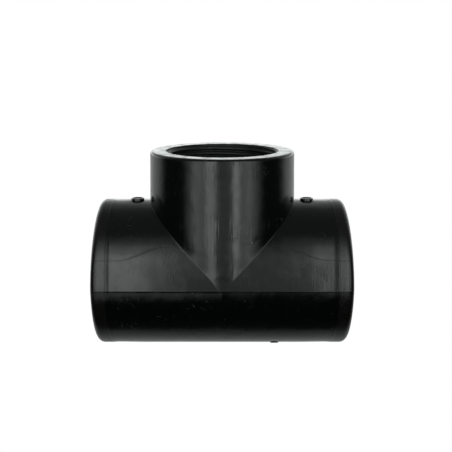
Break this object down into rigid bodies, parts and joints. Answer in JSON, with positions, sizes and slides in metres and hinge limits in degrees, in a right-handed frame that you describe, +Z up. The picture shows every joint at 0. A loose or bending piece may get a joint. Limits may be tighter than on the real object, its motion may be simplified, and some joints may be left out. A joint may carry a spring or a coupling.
{
  "type": "threaded pipe tee",
  "caption": "Black moulded plastic pipe tee with equal female-threaded ports on a straight run and a branch at right angles.",
  "frame": {"origin": "on the plane that the run rests on, straight below the crossing of the run's and the branch's axes", "axes": "+X along the run, +Z up the branch towards its mouth, -Y is the front"},
  "size_m": [0.1068, 0.063, 0.0844],
  "materials": {
    "black_pvc": "satin moulded black plastic"
  },
  "bodies": {
    "root": {"centre_body": "black_pvc", "branch_port": "black_pvc", "run_port_left": "black_pvc", "run_port_right": "black_pvc"}
  },
  "joints": []
}
